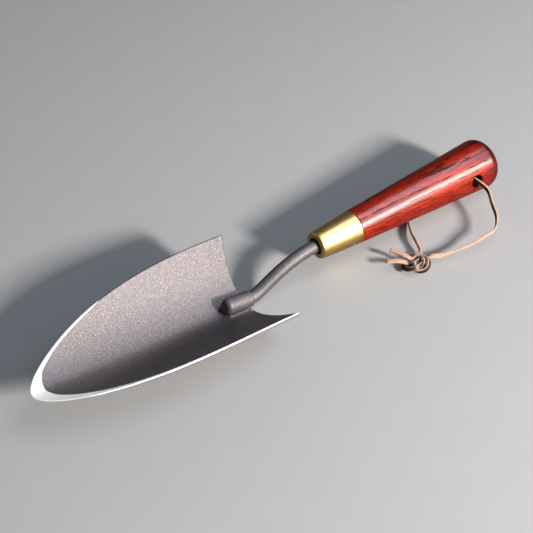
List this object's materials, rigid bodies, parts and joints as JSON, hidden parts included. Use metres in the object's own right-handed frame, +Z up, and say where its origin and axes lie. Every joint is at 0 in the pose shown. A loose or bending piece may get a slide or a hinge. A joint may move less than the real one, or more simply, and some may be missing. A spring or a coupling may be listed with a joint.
{
  "type": "hand trowel",
  "caption": "Garden hand trowel: dished leaf-shaped steel blade, bent neck, brass ferrule, turned wooden handle and a leather hanging thong that swings.",
  "frame": {"origin": "centre of the small flat on the handle's butt, on the handle's axis", "axes": "+X along the handle's axis from butt to blade tip, +Z up with the trowel lying hollow side up, +Y towards the side the thong lies on"},
  "size_m": [0.3229, 0.0808, 0.0337],
  "materials": {
    "powder_coat": "satin",
    "brass": "satin",
    "lacquered_wood": "gloss",
    "resin": "matte",
    "thong_leather": "matte"
  },
  "bodies": {
    "trowel": {"blade": "powder_coat", "neck_socket": "powder_coat", "socket_weld_near": "powder_coat", "socket_weld_far": "powder_coat", "neck": "powder_coat", "ferrule": "brass", "ferrule_pin": "brass", "tang_bedding": "resin", "handle": "lacquered_wood"},
    "thong": {"thong_loop": "thong_leather", "thong_knot": "thong_leather"}
  },
  "joints": [
    {"name": "thong_swing", "type": "hinge", "parent": "trowel", "child": "thong", "pos_m": [0.022, 0, 0], "axis": [0, 0.9903, 0.1392], "range_deg": [0, 300]}
  ]
}
